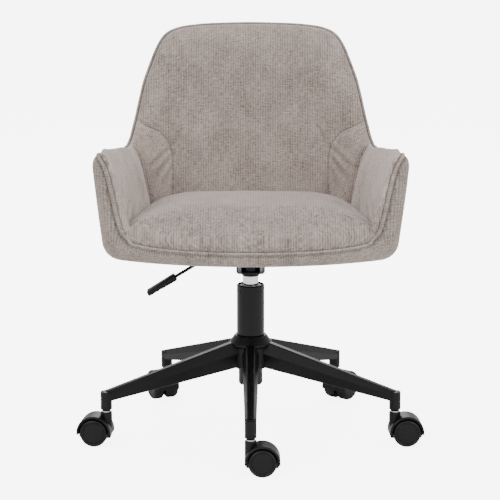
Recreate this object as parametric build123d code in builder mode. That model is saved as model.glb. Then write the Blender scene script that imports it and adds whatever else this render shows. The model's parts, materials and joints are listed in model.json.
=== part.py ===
"""Swivel office chair: an upholstered tub seat with winged arms, a gas lift and a five-star base on casters.

Millimetres. +Z is up, the sitter faces -Y, and the origin is on the floor under the column's axis.
"""
from build123d import *
from math import cos, radians, sin
import os

# ---------------------------------------------------------------- driving dimensions
GAP = 0.3                    # kept between soft layers that would otherwise touch

# star base
STAR_RADIUS = 272.0          # column axis to caster stem axis
LEG_COUNT = 5
FRONT_LEG_ANGLE = -90.0
HUB_RADIUS = 33.0
HUB_BOTTOM = 124.0
HUB_TOP = 167.0
HUB_BORE_LIP = 10.0          # how far the bore's cutter runs past the hub's two ends
COLLAR_RADIUS = 38.5
COLLAR_TOP = 184.0
TIP_RADIUS = 10.3            # vertical caster socket at each leg's end
TIP_BOTTOM = 65.5
TIP_TOP = 97.0
LEG_ROOT_TOP = 176.0
LEG_ROOT_BOTTOM = 127.0
LEG_ROOT_WIDTH = 31.0
LEG_TIP_BOTTOM = 80.5
LEG_WALL = 3.5

# casters
WHEEL_RADIUS = 25.0
WHEEL_WIDTH = 18.0
WHEEL_BORE_DEPTH = 12.0
TRAIL = 20.5                 # stem axis to axle
WEB_HALF = 5.0               # half the thickness of the hood's centre web
WHEEL_INNER = 5.8            # caster centre plane to a wheel's inner face
AXLE_RADIUS = 4.0
HOOD_RADIUS = 31.0
HOOD_WALL = 3.4
HOOD_HALF_WIDTH = 22.0
HOOD_TOP = 61.5
STEM_RADIUS = 5.5
STEM_BOTTOM = 40.0
STEM_TOP = 91.0
GROOVE_Z = 80.0              # grip ring's groove in the stem
GROOVE_HEIGHT = 3.0
GROOVE_RADIUS = 4.6
CASTERS = {                  # name: (leg number, heading of the trail in degrees from +X)
    "front": (0, 0.0),
    "right": (1, 4.0),
    "rear_right": (2, 51.0),
    "rear_left": (3, 116.0),
    "left": (4, 172.0),
}

# gas lift
TUBE_RADIUS = 25.0
TUBE_WALL = 2.0
TUBE_TOP = 277.0
TUBE_FOOT_RADIUS = 21.7      # below the hub
TUBE_BOTTOM = 92.0
TUBE_BORE_FIT = 0.6          # how much slimmer the tube is at the collar, where its taper ends
FOOT_PLATE_BOTTOM = 97.0
FOOT_PLATE_TOP = 101.0
CYLINDER_RADIUS = 14.0
CYLINDER_BORE = 12.5
CYLINDER_BOTTOM = 118.0
CYLINDER_TAPER_START = 296.0
CYLINDER_TOP = 328.0
CYLINDER_TOP_RADIUS = 13.1
CHAMBER_TOP = 290.0
DIMPLE_ANGLES = (-62, -40, 80, 102, 200, 222)    # pressed dimples that hold the guide bush
BUSH_BOTTOM = 214.0
SEAL_HEIGHT = 12.0
WASHER_THICKNESS = 1.2
ROD_RADIUS = 5.0
ROD_BOTTOM = 93.0
PISTON_BOTTOM = 262.0
PISTON_HEIGHT = 12.0
BALL_RADIUS = 2.0
BALL_COUNT = 10
BALL_CIRCLE = 10.5
RUNNING = 0.08               # radial clearance of sliding and turning fits
VALVE_PIN_RADIUS = 3.0
VALVE_PIN_BOTTOM = 300.0
VALVE_PIN_TOP = 333.0

# swivel plate under the seat
PLATE_BOTTOM = 351.0
PLATE_THICKNESS = 3.0
PLATE_X = 190.0
PLATE_Y = 150.0
BOLT_SPACING_X = 160.0
BOLT_SPACING_Y = 120.0
BOLT_RADIUS = 3.0
SOCKET_RADIUS = 17.0
SOCKET_BOTTOM = 293.0
BRACKET_HALF_X = 26.0
BRACKET_HALF_Y = 24.0
BRACKET_BOTTOM = 300.0
BRACKET_THICKNESS = 2.5

# release lever, in the plane y = 0
PIVOT_X = -20.0
PIVOT_Z = 337.0
LEVER_RADIUS = 3.0
LEVER_BEND_X = -60.0
GRIP_START = (-136.0, 290.4)
GRIP_END = (-186.0, 259.8)

# tub seat
TUB_BOTTOM = 352.0
TUB_TOP = 722.0
BOARD_THICKNESS = 12.0
COVER_THICKNESS = 4.0
CLOTH_THICKNESS = 1.5        # the cover's underside and the dust cover
FRAME_THICKNESS = 10.0
WELT_WIDTH = 14.3            # covered piping round the rim
WELT_HEIGHT = 6.0
PANEL_SEAM_X = 142.0         # seams between the back pad and the arm pads
OUTLINE_KEYS = ("z", "front_x", "corner_y", "front_y", "rear_x", "rear_y", "back_y")
TUB_LOW = dict(zip(OUTLINE_KEYS, (TUB_BOTTOM, 262.0, -142.0, -226.0, 210.0, 140.0, 238.0)))
TUB_HIGH = dict(zip(OUTLINE_KEYS, (TUB_TOP, 306.0, -142.0, -240.0, 268.0, 176.0, 303.0)))
SEAT_LOW = dict(zip(OUTLINE_KEYS, (TUB_BOTTOM, 241.0, -299.0, -330.0, 173.0, 95.0, 140.0)))
SEAT_HIGH = dict(zip(OUTLINE_KEYS, (TUB_TOP, 315.0, -299.0, -330.0, 232.0, 150.0, 262.0)))
FOOT_INSET = 24.0            # the tub's lower edge is drawn in by this much
FOOT_HEIGHT = 18.0
FRAME_DROP = 12.0            # the shell frame stops this far under the rim seen from the side
FRAME_BACK_DROP = 20.0       # and this far inside the back's outline seen from the front
FRAME_WING_FOOT = 520.0      # its own side edges start at this lower height
OPENING_INSET = 45.0         # opening in the cover's underside, closed by the dust cover
FRONT_CORNER_RADIUS = 50.0
REAR_CORNER_RADIUS = 100.0
SEAT_CORNER_RADIUS = 60.0
BACK_TOP_RADIUS = 34.0
CUSHION_STEP = 376.6         # the cushion overhangs the front lip above this height
CUSHION_TOP = 442.0
CUSHION_GAP = 0.8            # between the cushion and the pads
CUSHION_OVERHANG = 3.0       # inset of the cushion's front from the tub's outer face
BACK_HALF_WIDTH = 166.0      # at the top of the back
WING_FOOT = 548.0            # the back's side edges start at this height
BACK_EDGE = [(199.0, 624.0), (217.0, 567.0), (223.0, WING_FOOT)]    # half width and height
ARM_RIM = [                  # depth and height of the rim seen from the side, from the front to the back
    (-330.0, 376.0), (-226.0, 376.0), (-190.0, 379.0), (-168.0, 386.0), (-159.0, 400.0), (-156.0, 525.0),
    (-148.0, 539.0), (-125.0, 543.0), (-60.0, 530.0), (0.0, 526.0), (128.0, 512.0), (166.0, WING_FOOT),
    (196.0, 640.0), (225.0, TUB_TOP),
]
BEYOND = 20.0                # how far a cutting block overshoots what it cuts
REACH = 400.0                # half extent of blocks that cover the whole tub

os.makedirs("parts", exist_ok=True)


def save(builder, name):
    """Labels a finished piece and writes it as its own STEP file."""
    builder.part.label = name
    export_step(builder.part, f"parts/{name}.step")


def ring_profile(inner, outer, bottom, top):
    """Half-section of a plain ring, drawn in the XZ plane for a revolve about Z."""
    Polyline((inner, bottom), (outer, bottom), (outer, top), (inner, top), close=True)


def plain_ring(inner, outer, bottom, top):
    """A washer or bush: a ring about Z."""
    with BuildPart() as ring:
        with BuildSketch(Plane.XZ):
            with BuildLine():
                ring_profile(inner, outer, bottom, top)
            make_face()
        revolve(axis=Axis.Z)
    return ring


# ---------------------------------------------------------------- star base
def leg_section(distance, top, bottom, width, crown_width):
    """Six-sided leg section at a distance from the column: a narrow crown over wider flanks."""
    flank = bottom + 0.55 * (top - bottom)
    with BuildSketch(Plane(origin=(distance, 0, 0), x_dir=(0, 1, 0), z_dir=(1, 0, 0))) as section:
        with BuildLine():
            Polyline(
                (-0.42 * width, bottom),
                (0.42 * width, bottom),
                (0.5 * width, flank),
                (0.5 * crown_width, top),
                (-0.5 * crown_width, top),
                (-0.5 * width, flank),
                close=True,
            )
        make_face()
        fillet(section.vertices(), radius=2.4)
    return section.sketch


def star_leg():
    """One leg along +X with its vertical caster socket, hollow underneath like a casting."""
    root, tip = 22.0, STAR_RADIUS + TIP_RADIUS
    fall = (LEG_ROOT_TOP - TIP_TOP) / (tip - root)
    with BuildPart() as leg:
        add(leg_section(root, LEG_ROOT_TOP, LEG_ROOT_BOTTOM, LEG_ROOT_WIDTH, 15.0))
        add(leg_section(STAR_RADIUS, TIP_TOP + fall * TIP_RADIUS, LEG_TIP_BOTTOM, 2 * TIP_RADIUS, 11.0))
        loft(ruled=True)
        with BuildSketch(Plane.XY.offset(TIP_BOTTOM)):
            with Locations((STAR_RADIUS, 0)):
                Circle(TIP_RADIUS)
        extrude(amount=TIP_TOP - TIP_BOTTOM + 1.5)
        fillet(leg.faces().sort_by(Axis.Z)[0].edges(), radius=2.0)
        with BuildSketch(Plane.XZ):
            with BuildLine():
                Polyline(
                    (root, LEG_ROOT_TOP), (tip, TIP_TOP), (tip + 5, TIP_TOP), (tip + 5, LEG_ROOT_TOP + 9),
                    (root, LEG_ROOT_TOP + 9), close=True,
                )
            make_face()
        extrude(amount=40, both=True, mode=Mode.SUBTRACT)
        with BuildSketch(Plane(origin=(44.0, 0, 0), x_dir=(0, 1, 0), z_dir=(1, 0, 0))):
            with Locations((0, 138.0)):
                Rectangle(0.84 * LEG_ROOT_WIDTH - 2 * LEG_WALL - 1.0, 42.0)
        with BuildSketch(Plane(origin=(STAR_RADIUS - 26.0, 0, 0), x_dir=(0, 1, 0), z_dir=(1, 0, 0))):
            with Locations((0, 80.0)):
                Rectangle(10.5, 30.0)
        loft(ruled=True, mode=Mode.SUBTRACT)
    return leg.part


leg = star_leg()
with BuildPart() as star_base:
    with BuildSketch(Plane.XZ):
        with BuildLine():
            Polyline(
                (0, HUB_BOTTOM), (HUB_RADIUS - 2, HUB_BOTTOM), (HUB_RADIUS, HUB_BOTTOM + 2),
                (HUB_RADIUS, HUB_TOP - 5), (COLLAR_RADIUS, HUB_TOP), (COLLAR_RADIUS, HUB_TOP + 3),
                (28.5, COLLAR_TOP), (0, COLLAR_TOP), close=True,
            )
        make_face()
    revolve(axis=Axis.Z)
    with PolarLocations(0, LEG_COUNT, start_angle=FRONT_LEG_ANGLE):
        add(leg)
    with BuildSketch(Plane.XZ):
        with BuildLine():
            Polyline(
                (0, HUB_BOTTOM - HUB_BORE_LIP), (TUBE_FOOT_RADIUS, HUB_BOTTOM - HUB_BORE_LIP),
                (TUBE_FOOT_RADIUS, HUB_BOTTOM), (TUBE_RADIUS - TUBE_BORE_FIT, COLLAR_TOP),
                (TUBE_RADIUS - TUBE_BORE_FIT, COLLAR_TOP + HUB_BORE_LIP), (0, COLLAR_TOP + HUB_BORE_LIP),
                close=True,
            )
        make_face()
    revolve(axis=Axis.Z, mode=Mode.SUBTRACT)
    with BuildSketch(Plane.XY.offset(TIP_BOTTOM)):
        with PolarLocations(STAR_RADIUS, LEG_COUNT, start_angle=FRONT_LEG_ANGLE):
            Circle(STEM_RADIUS + RUNNING)
    extrude(amount=STEM_TOP - TIP_BOTTOM + 0.5, mode=Mode.SUBTRACT)
    with BuildSketch(Plane.XY.offset(GROOVE_Z)):
        with PolarLocations(STAR_RADIUS, LEG_COUNT, start_angle=FRONT_LEG_ANGLE):
            Circle(STEM_RADIUS + 0.5)
    extrude(amount=GROOVE_HEIGHT, mode=Mode.SUBTRACT)
save(star_base, "star_base")

with BuildPart() as grip_rings:
    with BuildSketch(Plane.XY.offset(GROOVE_Z + 0.3)):
        with PolarLocations(STAR_RADIUS, LEG_COUNT, start_angle=FRONT_LEG_ANGLE):
            Circle(STEM_RADIUS + 0.45)
        with PolarLocations(STAR_RADIUS, LEG_COUNT, start_angle=FRONT_LEG_ANGLE):
            Circle(GROOVE_RADIUS + RUNNING, mode=Mode.SUBTRACT)
        with PolarLocations(STAR_RADIUS - STEM_RADIUS, LEG_COUNT, start_angle=FRONT_LEG_ANGLE):
            Rectangle(5.0, 1.6, mode=Mode.SUBTRACT)
    extrude(amount=GROOVE_HEIGHT - 0.6)
save(grip_rings, "caster_grip_rings")

# ---------------------------------------------------------------- casters
def caster_frame(leg_number, heading):
    """A caster's own frame: origin on the floor under its stem, +X along the trail, +Y along the axle."""
    angle = radians(FRONT_LEG_ANGLE + 360.0 / LEG_COUNT * leg_number)
    origin = (STAR_RADIUS * cos(angle), STAR_RADIUS * sin(angle), 0)
    return Plane(origin=origin, x_dir=(cos(radians(heading)), sin(radians(heading)), 0), z_dir=(0, 0, 1))


def caster_stem():
    """Steel stem: collar under the leg's tip and a groove for the grip ring."""
    with BuildPart() as stem:
        with BuildSketch(Plane.XZ):
            with BuildLine():
                Polyline(
                    (0, STEM_BOTTOM), (STEM_RADIUS, STEM_BOTTOM), (STEM_RADIUS, HOOD_TOP), (8.0, HOOD_TOP),
                    (8.0, HOOD_TOP + 1.8), (STEM_RADIUS, HOOD_TOP + 3.2), (STEM_RADIUS, GROOVE_Z),
                    (GROOVE_RADIUS, GROOVE_Z), (GROOVE_RADIUS, GROOVE_Z + GROOVE_HEIGHT),
                    (STEM_RADIUS, GROOVE_Z + GROOVE_HEIGHT), (STEM_RADIUS, STEM_TOP - 1.5),
                    (STEM_RADIUS - 1.5, STEM_TOP), (0, STEM_TOP), close=True,
                )
            make_face()
        revolve(axis=Axis.Z)
    return stem


def caster_hood():
    """Moulded hood: stem housing, arched fender over both wheels and a centre web with the axle's bore."""
    axle = (TRAIL, WHEEL_RADIUS)
    low = WHEEL_RADIUS - 3.0
    with BuildPart() as hood:
        with BuildSketch(Plane.XZ):
            with Locations(axle):
                Circle(HOOD_RADIUS)
                Circle(HOOD_RADIUS - HOOD_WALL, mode=Mode.SUBTRACT)
            with Locations((TRAIL, low - HOOD_RADIUS)):
                Rectangle(3 * HOOD_RADIUS, 2 * HOOD_RADIUS, mode=Mode.SUBTRACT)
        extrude(amount=HOOD_HALF_WIDTH, both=True)
        arches = hood.edges().filter_by(GeomType.CIRCLE).filter_by(lambda e: e.radius > HOOD_RADIUS - 0.1)
        fillet(arches, radius=2.2)
        with BuildSketch(Plane.XZ):
            with Locations(axle):
                Circle(HOOD_RADIUS - 1.0)
            with Locations((TRAIL, low - 9.0 - HOOD_RADIUS)):
                Rectangle(3 * HOOD_RADIUS, 2 * HOOD_RADIUS, mode=Mode.SUBTRACT)
        extrude(amount=WEB_HALF, both=True)
        with BuildSketch(Plane.XY.offset(low)):
            Circle(TIP_RADIUS)
        extrude(amount=HOOD_TOP - low)
        fillet(hood.faces().filter_by(Axis.Z).sort_by(Axis.Z)[-1].outer_wire().edges(), radius=1.2)
        with BuildSketch(Plane.XZ.offset(-HOOD_HALF_WIDTH - 1)):
            with Locations(axle):
                Circle(WHEEL_RADIUS + 2.0)
        extrude(amount=HOOD_HALF_WIDTH + 1 - WEB_HALF, mode=Mode.SUBTRACT)
        with BuildSketch(Plane.XZ.offset(WEB_HALF)):
            with Locations(axle):
                Circle(WHEEL_RADIUS + 2.0)
        extrude(amount=HOOD_HALF_WIDTH + 1 - WEB_HALF, mode=Mode.SUBTRACT)
        with BuildSketch(Plane.XZ):
            with Locations(axle):
                Circle(AXLE_RADIUS)
        extrude(amount=HOOD_HALF_WIDTH, both=True, mode=Mode.SUBTRACT)
        with BuildSketch(Plane.XY.offset(STEM_BOTTOM)):
            Circle(STEM_RADIUS)
        extrude(amount=HOOD_TOP - STEM_BOTTOM + 1, mode=Mode.SUBTRACT)
    return hood


def caster_axle():
    """Axle pin through the hood's web, along Y, carrying a wheel on each end."""
    half_length = WHEEL_INNER + 11.0
    with BuildPart() as axle:
        with BuildSketch(Plane.XZ):
            with Locations((TRAIL, WHEEL_RADIUS)):
                Circle(AXLE_RADIUS)
        extrude(amount=half_length, both=True)
        chamfer(axle.faces().filter_by(Axis.Y).edges(), length=0.6)
    return axle


def caster_wheel(side):
    """Moulded wheel, on the +Y side for side 1 and the -Y side for side -1: tread with rounded shoulders,
    a rim step round the outer face and a blind bore on the inner face."""
    with BuildPart() as wheel:
        with BuildSketch(Plane.YZ.offset(TRAIL)):
            with BuildLine():
                Polyline(
                    (WHEEL_INNER, WHEEL_RADIUS), (WHEEL_INNER, 2.0), (WHEEL_INNER + 2.0, 0),
                    (WHEEL_INNER + WHEEL_WIDTH - 5.0, 0), (WHEEL_INNER + WHEEL_WIDTH - 1.5, 1.2),
                    (WHEEL_INNER + WHEEL_WIDTH, 3.6), (WHEEL_INNER + WHEEL_WIDTH - 1.2, 5.2),
                    (WHEEL_INNER + WHEEL_WIDTH - 1.2, 6.6), (WHEEL_INNER + WHEEL_WIDTH - 0.2, 7.6),
                    (WHEEL_INNER + WHEEL_WIDTH, WHEEL_RADIUS), close=True,
                )
            make_face()
        revolve(axis=Axis((TRAIL, 0, WHEEL_RADIUS), (0, 1, 0)))
        with BuildSketch(Plane.XZ.offset(-WHEEL_INNER - WHEEL_BORE_DEPTH)):
            with Locations((TRAIL, WHEEL_RADIUS)):
                Circle(AXLE_RADIUS + RUNNING)
        extrude(amount=WHEEL_BORE_DEPTH, mode=Mode.SUBTRACT)
        if side < 0:
            mirror(about=Plane.XZ, mode=Mode.REPLACE)
    return wheel


for caster, (leg_number, heading) in CASTERS.items():
    frame = caster_frame(leg_number, heading)
    pieces = {
        "stem": caster_stem(),
        "hood": caster_hood(),
        "axle": caster_axle(),
        "wheel_left": caster_wheel(1),
        "wheel_right": caster_wheel(-1),
    }
    for piece, builder in pieces.items():
        with BuildPart() as placed:
            add(frame.location * builder.part)
        save(placed, f"{caster}_caster_{piece}")

# ---------------------------------------------------------------- gas lift
TUBE_BORE = TUBE_RADIUS - TUBE_WALL
TUBE_FOOT_BORE = TUBE_FOOT_RADIUS - TUBE_WALL

with BuildPart() as column_tube:
    with BuildSketch(Plane.XZ):
        with BuildLine():
            Polyline(
                (ROD_RADIUS + 1.0, FOOT_PLATE_BOTTOM), (TUBE_FOOT_BORE, FOOT_PLATE_BOTTOM),
                (TUBE_FOOT_BORE, TUBE_BOTTOM), (TUBE_FOOT_RADIUS - 1.5, TUBE_BOTTOM),
                (TUBE_FOOT_RADIUS, TUBE_BOTTOM + 3.0), (TUBE_FOOT_RADIUS, HUB_BOTTOM),
                (TUBE_RADIUS - TUBE_BORE_FIT, COLLAR_TOP), (TUBE_RADIUS, COLLAR_TOP + 1.5),
                (TUBE_RADIUS, TUBE_TOP - 1.6), (TUBE_RADIUS - 1.2, TUBE_TOP), (TUBE_BORE, TUBE_TOP),
                (TUBE_BORE, COLLAR_TOP + 12.0), (TUBE_FOOT_BORE, HUB_BOTTOM),
                (TUBE_FOOT_BORE, FOOT_PLATE_TOP), (ROD_RADIUS + 1.0, FOOT_PLATE_TOP), close=True,
            )
        make_face()
    revolve(axis=Axis.Z)
    for angle in DIMPLE_ANGLES:
        outwards = Vector(cos(radians(angle)), sin(radians(angle)), 0)
        start = outwards * (TUBE_RADIUS + 1.0) + Vector(0, 0, TUBE_TOP - 11.0)
        with BuildSketch(Plane(origin=start, z_dir=-outwards)):
            Circle(1.7)
        extrude(amount=1.9, mode=Mode.SUBTRACT)
save(column_tube, "column_tube")

with BuildPart() as guide_bush:
    with BuildSketch(Plane.XZ):
        with BuildLine():
            Polyline(
                (CYLINDER_RADIUS + RUNNING, BUSH_BOTTOM), (TUBE_BORE - 0.05, BUSH_BOTTOM),
                (TUBE_BORE - 0.05, TUBE_TOP - 3.0), (CYLINDER_RADIUS + 3.5, TUBE_TOP - 1.0),
                (CYLINDER_RADIUS + RUNNING, TUBE_TOP - 1.0), close=True,
            )
        make_face()
    revolve(axis=Axis.Z)
save(guide_bush, "guide_bush")

RACE_OUTER = 15.0
LOWER_RACE_TOP = FOOT_PLATE_TOP + 2.2
BALL_Z = LOWER_RACE_TOP + BALL_RADIUS + 0.05
UPPER_RACE_BOTTOM = BALL_Z + BALL_RADIUS + 0.05
UPPER_RACE_TOP = UPPER_RACE_BOTTOM + 2.2
save(plain_ring(ROD_RADIUS + 1.0, RACE_OUTER, FOOT_PLATE_TOP, LOWER_RACE_TOP), "bearing_lower_race")
save(plain_ring(ROD_RADIUS, RACE_OUTER, UPPER_RACE_BOTTOM, UPPER_RACE_TOP), "bearing_upper_race")

with BuildPart() as bearing_balls:
    with BuildSketch(Plane.XY.offset(BALL_Z - 0.6)):
        Circle(BALL_CIRCLE + 3.2)
        Circle(BALL_CIRCLE - 3.2, mode=Mode.SUBTRACT)
        with PolarLocations(BALL_CIRCLE, BALL_COUNT):
            Circle(BALL_RADIUS + 0.15, mode=Mode.SUBTRACT)
    extrude(amount=1.2)
    for spot in PolarLocations(BALL_CIRCLE, BALL_COUNT):
        with Locations(spot.position + Vector(0, 0, BALL_Z)):
            Sphere(BALL_RADIUS)
save(bearing_balls, "bearing_ball_cage")

save(plain_ring(ROD_RADIUS, 13.0, UPPER_RACE_TOP, CYLINDER_BOTTOM - 0.4), "rubber_buffer")
CLIP_TOP = FOOT_PLATE_BOTTOM - 0.3
CLIP_BOTTOM = CLIP_TOP - 1.4
CLIP_GROOVE = 4.0
PISTON_BORE = ROD_RADIUS - 1.5
PISTON_TOP = PISTON_BOTTOM + PISTON_HEIGHT
SEAL_BOTTOM = CYLINDER_BOTTOM + 2.0

with BuildPart() as retaining_clip:
    with BuildSketch(Plane.XY.offset(CLIP_BOTTOM)):
        Circle(9.0)
        Circle(CLIP_GROOVE, mode=Mode.SUBTRACT)
        with Locations((6.5, 0)):
            Rectangle(7.0, 3.0, mode=Mode.SUBTRACT)
    extrude(amount=CLIP_TOP - CLIP_BOTTOM)
save(retaining_clip, "retaining_clip")

with BuildPart() as piston_rod:
    with BuildSketch(Plane.XZ):
        with BuildLine():
            Polyline(
                (0, ROD_BOTTOM), (ROD_RADIUS - 0.8, ROD_BOTTOM), (ROD_RADIUS, ROD_BOTTOM + 0.8),
                (ROD_RADIUS, CLIP_BOTTOM), (CLIP_GROOVE, CLIP_BOTTOM), (CLIP_GROOVE, CLIP_TOP),
                (ROD_RADIUS, CLIP_TOP), (ROD_RADIUS, PISTON_BOTTOM), (PISTON_BORE, PISTON_BOTTOM),
                (PISTON_BORE, PISTON_TOP), (0, PISTON_TOP), close=True,
            )
        make_face()
    revolve(axis=Axis.Z)
save(piston_rod, "piston_rod")
save(plain_ring(PISTON_BORE, CYLINDER_BORE - RUNNING, PISTON_BOTTOM, PISTON_TOP), "piston")
rod_seal_guide = plain_ring(ROD_RADIUS + RUNNING, CYLINDER_BORE, SEAL_BOTTOM, SEAL_BOTTOM + SEAL_HEIGHT)
save(rod_seal_guide, "rod_seal_guide")

with BuildPart() as gas_cylinder:
    with BuildSketch(Plane.XZ):
        with BuildLine():
            Polyline(
                (CYLINDER_BORE, CYLINDER_BOTTOM), (CYLINDER_RADIUS, CYLINDER_BOTTOM),
                (CYLINDER_RADIUS, CYLINDER_TAPER_START), (CYLINDER_TOP_RADIUS, CYLINDER_TOP),
                (VALVE_PIN_RADIUS + RUNNING, CYLINDER_TOP), (VALVE_PIN_RADIUS + RUNNING, CHAMBER_TOP),
                (CYLINDER_BORE, CHAMBER_TOP), close=True,
            )
        make_face()
    revolve(axis=Axis.Z)
save(gas_cylinder, "gas_cylinder")

with BuildPart() as valve_pin:
    with BuildSketch(Plane.XY.offset(VALVE_PIN_BOTTOM)):
        Circle(VALVE_PIN_RADIUS)
    extrude(amount=VALVE_PIN_TOP - VALVE_PIN_BOTTOM)
    fillet(valve_pin.faces().sort_by(Axis.Z)[-1].edges(), radius=1.0)
save(valve_pin, "valve_pin")

# ---------------------------------------------------------------- swivel plate and lever
with BuildPart() as taper_socket:
    with BuildSketch(Plane.XZ):
        with BuildLine():
            Polyline(
                (CYLINDER_RADIUS + 0.5, SOCKET_BOTTOM), (CYLINDER_RADIUS + 1.2, SOCKET_BOTTOM),
                (SOCKET_RADIUS, SOCKET_BOTTOM + 5.0), (SOCKET_RADIUS, CYLINDER_TOP + 1.0),
                (CYLINDER_TOP_RADIUS, CYLINDER_TOP + 1.0), (CYLINDER_TOP_RADIUS, CYLINDER_TOP),
                (CYLINDER_RADIUS, CYLINDER_TAPER_START), (CYLINDER_RADIUS + 0.5, CYLINDER_TAPER_START),
                close=True,
            )
        make_face()
    revolve(axis=Axis.Z)
save(taper_socket, "taper_socket")

with BuildPart() as lever_bracket:
    with BuildSketch(Plane.XZ):
        with BuildLine():
            Polyline(
                (-BRACKET_HALF_X, PLATE_BOTTOM), (-BRACKET_HALF_X, BRACKET_BOTTOM),
                (BRACKET_HALF_X, BRACKET_BOTTOM), (BRACKET_HALF_X, PLATE_BOTTOM),
                (BRACKET_HALF_X - BRACKET_THICKNESS, PLATE_BOTTOM),
                (BRACKET_HALF_X - BRACKET_THICKNESS, BRACKET_BOTTOM + BRACKET_THICKNESS),
                (-BRACKET_HALF_X + BRACKET_THICKNESS, BRACKET_BOTTOM + BRACKET_THICKNESS),
                (-BRACKET_HALF_X + BRACKET_THICKNESS, PLATE_BOTTOM), close=True,
            )
        make_face()
    extrude(amount=BRACKET_HALF_Y, both=True)
    fillet(lever_bracket.edges().filter_by(Axis.Y).group_by(Axis.Z)[0], radius=6.0)
    with BuildSketch(Plane.XY.offset(BRACKET_BOTTOM)):
        Circle(SOCKET_RADIUS)
    extrude(amount=BRACKET_THICKNESS, mode=Mode.SUBTRACT)
    with BuildSketch(Plane.YZ.offset(-BRACKET_HALF_X - 1)):
        with Locations((0, PIVOT_Z)):
            SlotOverall(14.0, 9.0, rotation=90)
    extrude(amount=BRACKET_THICKNESS + 2, mode=Mode.SUBTRACT)
save(lever_bracket, "lever_bracket")

with BuildPart() as pivot_pin:
    with BuildSketch(Plane.XZ):
        with Locations((PIVOT_X, PIVOT_Z)):
            Circle(1.5)
    extrude(amount=BRACKET_HALF_Y - 2.0, both=True)
save(pivot_pin, "lever_pivot_pin")

with BuildPart() as pivot_ears:
    for y in (-8.0, 5.5):
        with BuildSketch(Plane.XZ.offset(-y)):
            with BuildLine():
                Polyline(
                    (PIVOT_X - 3.2, PLATE_BOTTOM), (PIVOT_X - 3.2, PIVOT_Z), (PIVOT_X, PIVOT_Z - 4.0),
                    (PIVOT_X + 3.2, PIVOT_Z), (PIVOT_X + 3.2, PLATE_BOTTOM), close=True,
                )
            make_face()
            with Locations((PIVOT_X, PIVOT_Z)):
                Circle(1.5, mode=Mode.SUBTRACT)
        extrude(amount=-2.5)
save(pivot_ears, "lever_pivot_ears")

with BuildPart() as mounting_plate:
    with BuildSketch(Plane.XY.offset(PLATE_BOTTOM)):
        RectangleRounded(PLATE_X, PLATE_Y, 14.0)
        with GridLocations(BOLT_SPACING_X, BOLT_SPACING_Y, 2, 2):
            Circle(BOLT_RADIUS + 0.3, mode=Mode.SUBTRACT)
    extrude(amount=PLATE_THICKNESS)
    with BuildSketch(Plane.XY.offset(PLATE_BOTTOM - 4.0)):
        for x in (-55.0, 55.0):
            with Locations((x, 0)):
                RectangleRounded(7.0, PLATE_Y - 44.0, 3.0)
    extrude(amount=4.0)
save(mounting_plate, "mounting_plate")

BOARD_BOTTOM = PLATE_BOTTOM + PLATE_THICKNESS
BOARD_TOP = BOARD_BOTTOM + BOARD_THICKNESS

with BuildPart() as plate_bolts:
    with BuildSketch(Plane.XY.offset(PLATE_BOTTOM - WASHER_THICKNESS)):
        with GridLocations(BOLT_SPACING_X, BOLT_SPACING_Y, 2, 2):
            Circle(BOLT_RADIUS)
    extrude(amount=BOARD_THICKNESS + PLATE_THICKNESS + WASHER_THICKNESS)
    with BuildSketch(Plane.XY.offset(PLATE_BOTTOM - 5.6)):
        with GridLocations(BOLT_SPACING_X, BOLT_SPACING_Y, 2, 2):
            RegularPolygon(5.6, 6)
    extrude(amount=4.4)
save(plate_bolts, "plate_bolts")

with BuildPart() as bolt_washers:
    with BuildSketch(Plane.XY.offset(PLATE_BOTTOM - WASHER_THICKNESS)):
        with GridLocations(BOLT_SPACING_X, BOLT_SPACING_Y, 2, 2):
            Circle(8.0)
        with GridLocations(BOLT_SPACING_X, BOLT_SPACING_Y, 2, 2):
            Circle(BOLT_RADIUS + 0.2, mode=Mode.SUBTRACT)
    extrude(amount=WASHER_THICKNESS)
save(bolt_washers, "bolt_washers")

with BuildPart() as tee_nuts:
    with BuildSketch(Plane.XY.offset(BOARD_TOP)):
        with GridLocations(BOLT_SPACING_X, BOLT_SPACING_Y, 2, 2):
            Circle(9.0)
        with GridLocations(BOLT_SPACING_X, BOLT_SPACING_Y, 2, 2):
            Circle(BOLT_RADIUS + 0.1, mode=Mode.SUBTRACT)
    extrude(amount=1.5)
    with BuildSketch(Plane.XY.offset(BOARD_TOP - 9.0)):
        with GridLocations(BOLT_SPACING_X, BOLT_SPACING_Y, 2, 2):
            Circle(4.0)
        with GridLocations(BOLT_SPACING_X, BOLT_SPACING_Y, 2, 2):
            Circle(BOLT_RADIUS + 0.1, mode=Mode.SUBTRACT)
    extrude(amount=9.0)
save(tee_nuts, "tee_nuts")

with BuildPart() as lever_rod:
    with BuildLine() as route:
        FilletPolyline(
            (PIVOT_X - 4.5, 0, PIVOT_Z), (LEVER_BEND_X, 0, PIVOT_Z),
            (GRIP_START[0] - 8.0, 0, GRIP_START[1] - 4.9), radius=14.0,
        )
    with BuildSketch(Plane(origin=route.line @ 0, z_dir=route.line % 0)):
        Circle(LEVER_RADIUS)
    sweep()
    with BuildSketch(Plane.XY.offset(PIVOT_Z - 3.0)):
        with BuildLine():
            Polyline((PIVOT_X - 7, -3), (6, -5), (6, 5), (PIVOT_X - 7, 3), close=True)
        make_face()
    extrude(amount=5.0)
    with BuildSketch(Plane.XY.offset(VALVE_PIN_TOP + 0.1)):
        with BuildLine():
            Polyline((-8, -5), (6, -5), (6, 5), (-8, 5), close=True)
        make_face()
    extrude(amount=1.5)
    with BuildSketch(Plane.XZ.offset(-5)):
        with Locations((PIVOT_X, PIVOT_Z)):
            Circle(1.5 + RUNNING)
    extrude(amount=10, mode=Mode.SUBTRACT)
save(lever_rod, "lever_rod")


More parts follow.
